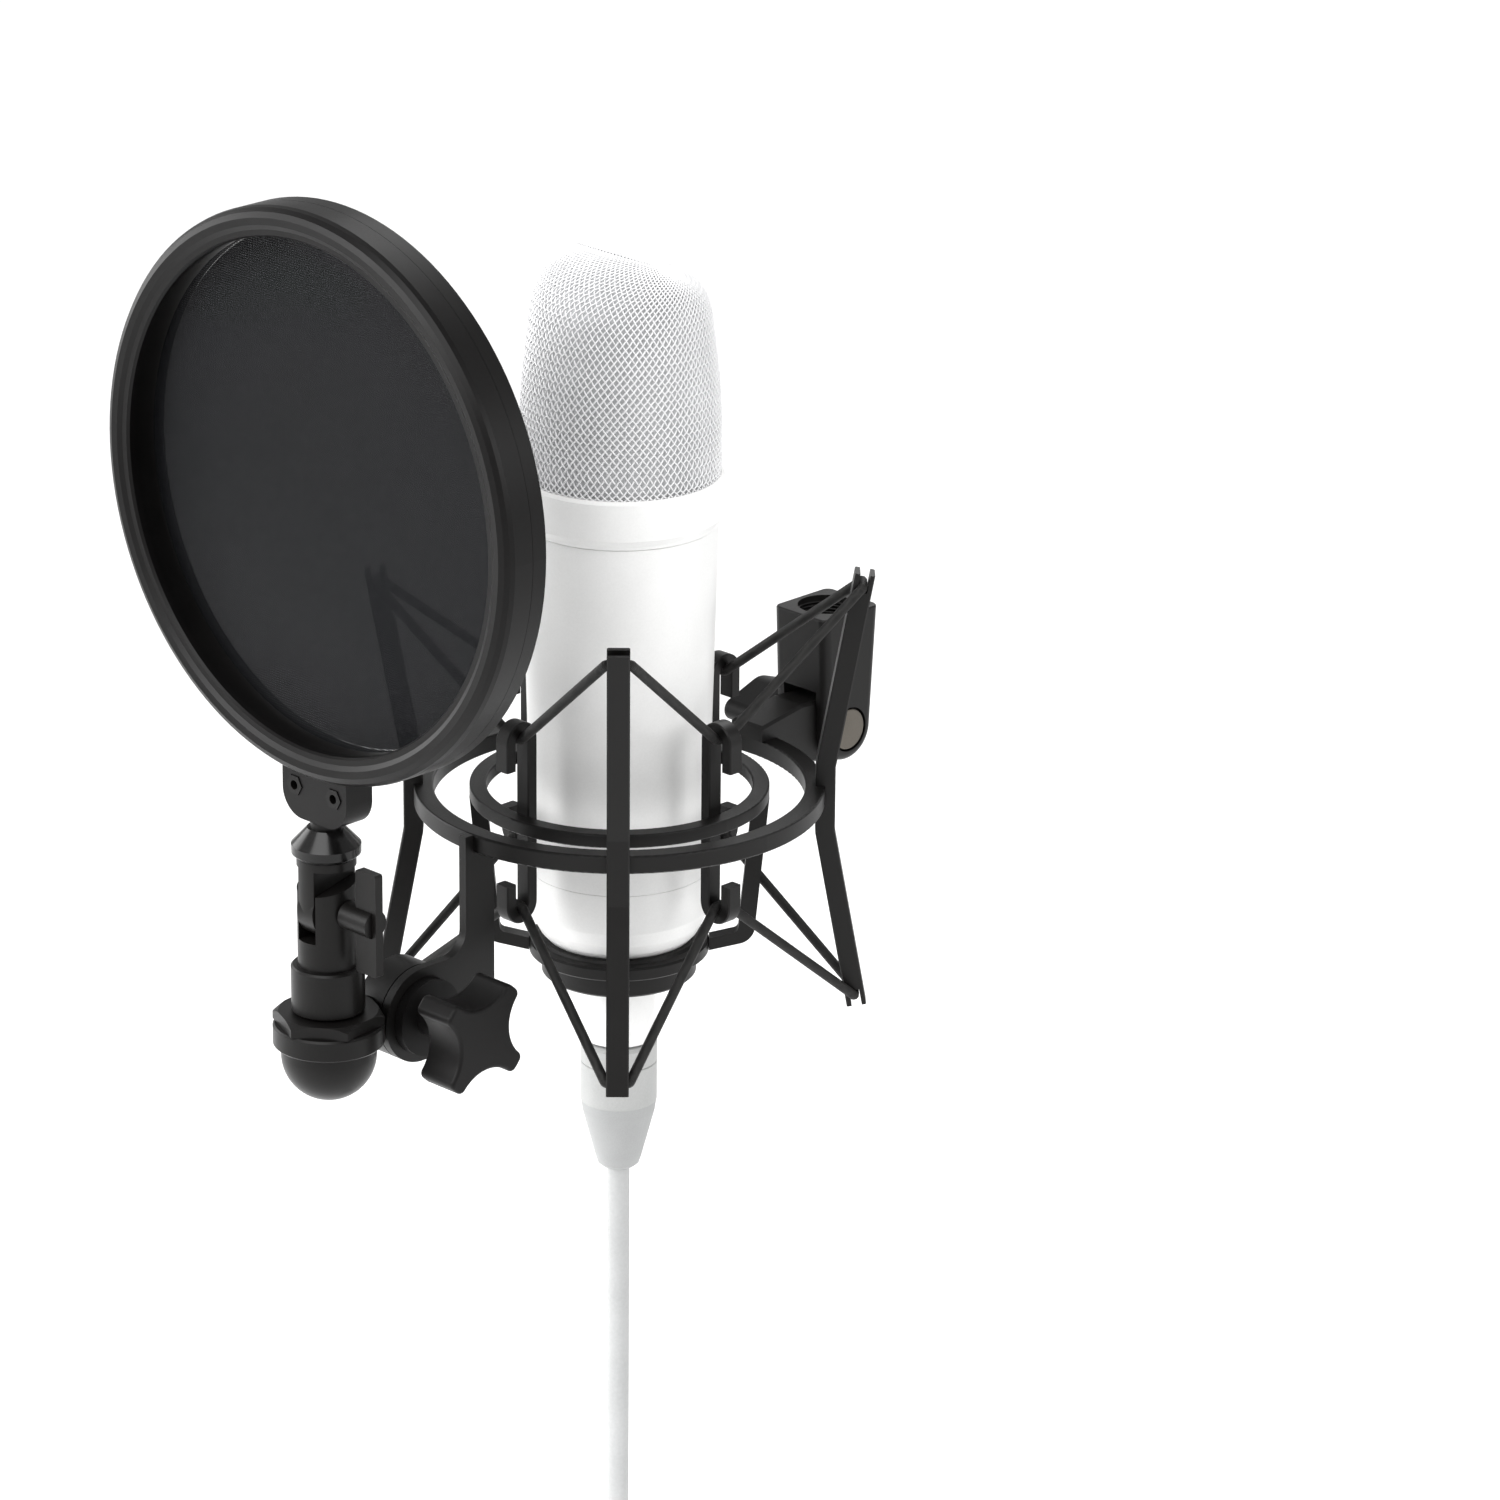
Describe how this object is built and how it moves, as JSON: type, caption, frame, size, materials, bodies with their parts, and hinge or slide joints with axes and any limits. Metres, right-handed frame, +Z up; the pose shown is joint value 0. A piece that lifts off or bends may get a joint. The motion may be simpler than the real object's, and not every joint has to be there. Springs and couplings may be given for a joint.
{
  "type": "condenser microphone in a shock mount",
  "caption": "Side-address condenser microphone in an elastic shock mount with a tilting boom bracket, a round fabric pop filter on a jointed arm, and a plugged cable.",
  "frame": {"origin": "centre of the mouth of the 5/8 inch boom socket, on the top face of the boom bracket", "axes": "+Z up along the boom socket and parallel to the microphone axis; -Y towards the pop filter, the side that is spoken into; +X to the right of a person who looks along +Y"},
  "size_m": [0.1428, 0.1971, 0.5576],
  "materials": {
    "satin_black_metal": "satin black powder coat",
    "satin_black_plastic": "satin moulded black",
    "gloss_black_metal": "gloss black",
    "knob_plastic": "fine matt black",
    "bolt_steel": "satin",
    "elastic_cord": "braided black elastic",
    "white_enamel": "soft white satin",
    "white_mesh": "white woven wire",
    "liner_foam": "fine pale mesh",
    "capsule_brass": "satin",
    "gold_film": "gold sputtered film",
    "inner_plastic": "matt",
    "chassis_aluminium": "satin",
    "board_laminate": "satin solder mask",
    "component_plastic": "gloss",
    "gold_pins": "gold plated",
    "pale_plug_metal": "pale satin",
    "pale_rubber": "matt",
    "latch_steel": "satin",
    "pale_cable": "matt jacket",
    "tie_webbing": "woven",
    "filter_fabric": "open woven nylon"
  },
  "bodies": {
    "bracket": {"boom_bracket": "satin_black_metal", "tilt_bolt": "bolt_steel"},
    "tilt_knob": {"tilt_knob": "knob_plastic"},
    "mount_ring": {"outer_ring": "satin_black_metal", "outer_arm_front": "satin_black_metal", "outer_arm_right": "satin_black_metal", "outer_arm_back": "satin_black_metal", "outer_arm_left": "satin_black_metal", "tilt_lug": "satin_black_metal", "hanger_plate": "satin_black_metal", "elastic_band_top": "elastic_cord", "elastic_band_bottom": "elastic_cord"},
    "cradle": {"inner_ring": "satin_black_metal", "cradle_post_front": "satin_black_metal", "cradle_post_right": "satin_black_metal", "cradle_post_back": "satin_black_metal", "cradle_post_left": "satin_black_metal", "cradle_struts": "satin_black_metal", "holder_ring": "satin_black_metal", "mic_body_tube": "white_enamel", "mic_base_cap": "white_enamel", "mic_collar": "white_enamel", "head_grille": "white_mesh", "grille_liner": "liner_foam", "capsule_body": "capsule_brass", "diaphragms": "gold_film", "capsule_saddle": "inner_plastic", "chassis_frame": "chassis_aluminium", "circuit_board": "board_laminate", "board_parts": "component_plastic", "xlr_shell": "white_enamel", "xlr_insert": "inner_plastic", "xlr_pins": "gold_pins", "plug_insert": "inner_plastic", "plug_shell": "pale_plug_metal", "plug_boot": "pale_rubber", "cable_drop": "pale_cable", "cable_coil": "pale_cable", "cable_tie": "tie_webbing", "cable_tail": "pale_cable", "far_plug_boot": "pale_rubber", "far_plug_shell": "pale_plug_metal", "far_plug_insert": "gold_pins"},
    "lock_ring": {"lock_ring": "satin_black_metal"},
    "plug_latch": {"plug_latch": "latch_steel"},
    "filter_arm": {"filter_cup": "satin_black_plastic", "cup_nut": "satin_black_metal", "clamp_bolt": "bolt_steel"},
    "arm_knob": {"arm_knob": "knob_plastic"},
    "filter_post": {"post_sleeve": "satin_black_plastic", "clevis_post": "satin_black_metal"},
    "wing_screw": {"wing_screw": "satin_black_metal"},
    "filter_head": {"filter_stem": "satin_black_metal", "ferrule": "gloss_black_metal", "rim_front": "satin_black_plastic", "rim_rear": "satin_black_plastic", "fabric_front": "filter_fabric", "fabric_rear": "filter_fabric", "filter_lug": "satin_black_plastic", "lug_nuts": "bolt_steel"}
  },
  "joints": [
    {"name": "mount_tilt", "type": "hinge", "parent": "bracket", "child": "mount_ring", "pos_m": [0, -0.0004, -0.0321], "axis": [1, 0, 0], "range_deg": [-10, 60]},
    {"name": "tilt_knob_turn", "type": "hinge", "parent": "bracket", "child": "tilt_knob", "pos_m": [-0.019, -0.0004, -0.0321], "axis": [1, 0, 0], "range_deg": [0, 270]},
    {"name": "suspension_bounce", "type": "slide", "parent": "mount_ring", "child": "cradle", "axis": [0, 0, 1], "range_m": [-0.003, 0.003], "stiffness_N_per_m": 6000, "springref_m": 0.00113, "deforming": ["elastic_band_top", "elastic_band_bottom"]},
    {"name": "lock_ring_turn", "type": "hinge", "parent": "cradle", "child": "lock_ring", "pos_m": [0, -0.0754, -0.0779], "axis": [0, 0, 1], "range_deg": [0, 360]},
    {"name": "plug_latch_press", "type": "slide", "parent": "cradle", "child": "plug_latch", "axis": [0, -1, 0], "range_m": [0, 0.001], "stiffness_N_per_m": 300, "springref_m": -0.0005},
    {"name": "filter_arm_swing", "type": "hinge", "parent": "mount_ring", "child": "filter_arm", "pos_m": [0, -0.1452, -0.0725], "axis": [1, 0, 0], "range_deg": [-5, 75]},
    {"name": "arm_knob_turn", "type": "hinge", "parent": "mount_ring", "child": "arm_knob", "pos_m": [0.014, -0.1452, -0.0725], "axis": [1, 0, 0], "range_deg": [0, 270]},
    {"name": "post_swivel", "type": "hinge", "parent": "filter_arm", "child": "filter_post", "pos_m": [-0.006, -0.1703, -0.0593], "axis": [0, 0, 1], "range_deg": [-25, 25]},
    {"name": "filter_tilt", "type": "hinge", "parent": "filter_post", "child": "filter_head", "pos_m": [-0.006, -0.1703, -0.0385], "axis": [-1, 0, 0], "range_deg": [-30, 5]},
    {"name": "wing_screw_turn", "type": "hinge", "parent": "filter_post", "child": "wing_screw", "pos_m": [0.006, -0.1703, -0.0385], "axis": [1, 0, 0], "range_deg": [0, 270]}
  ]
}
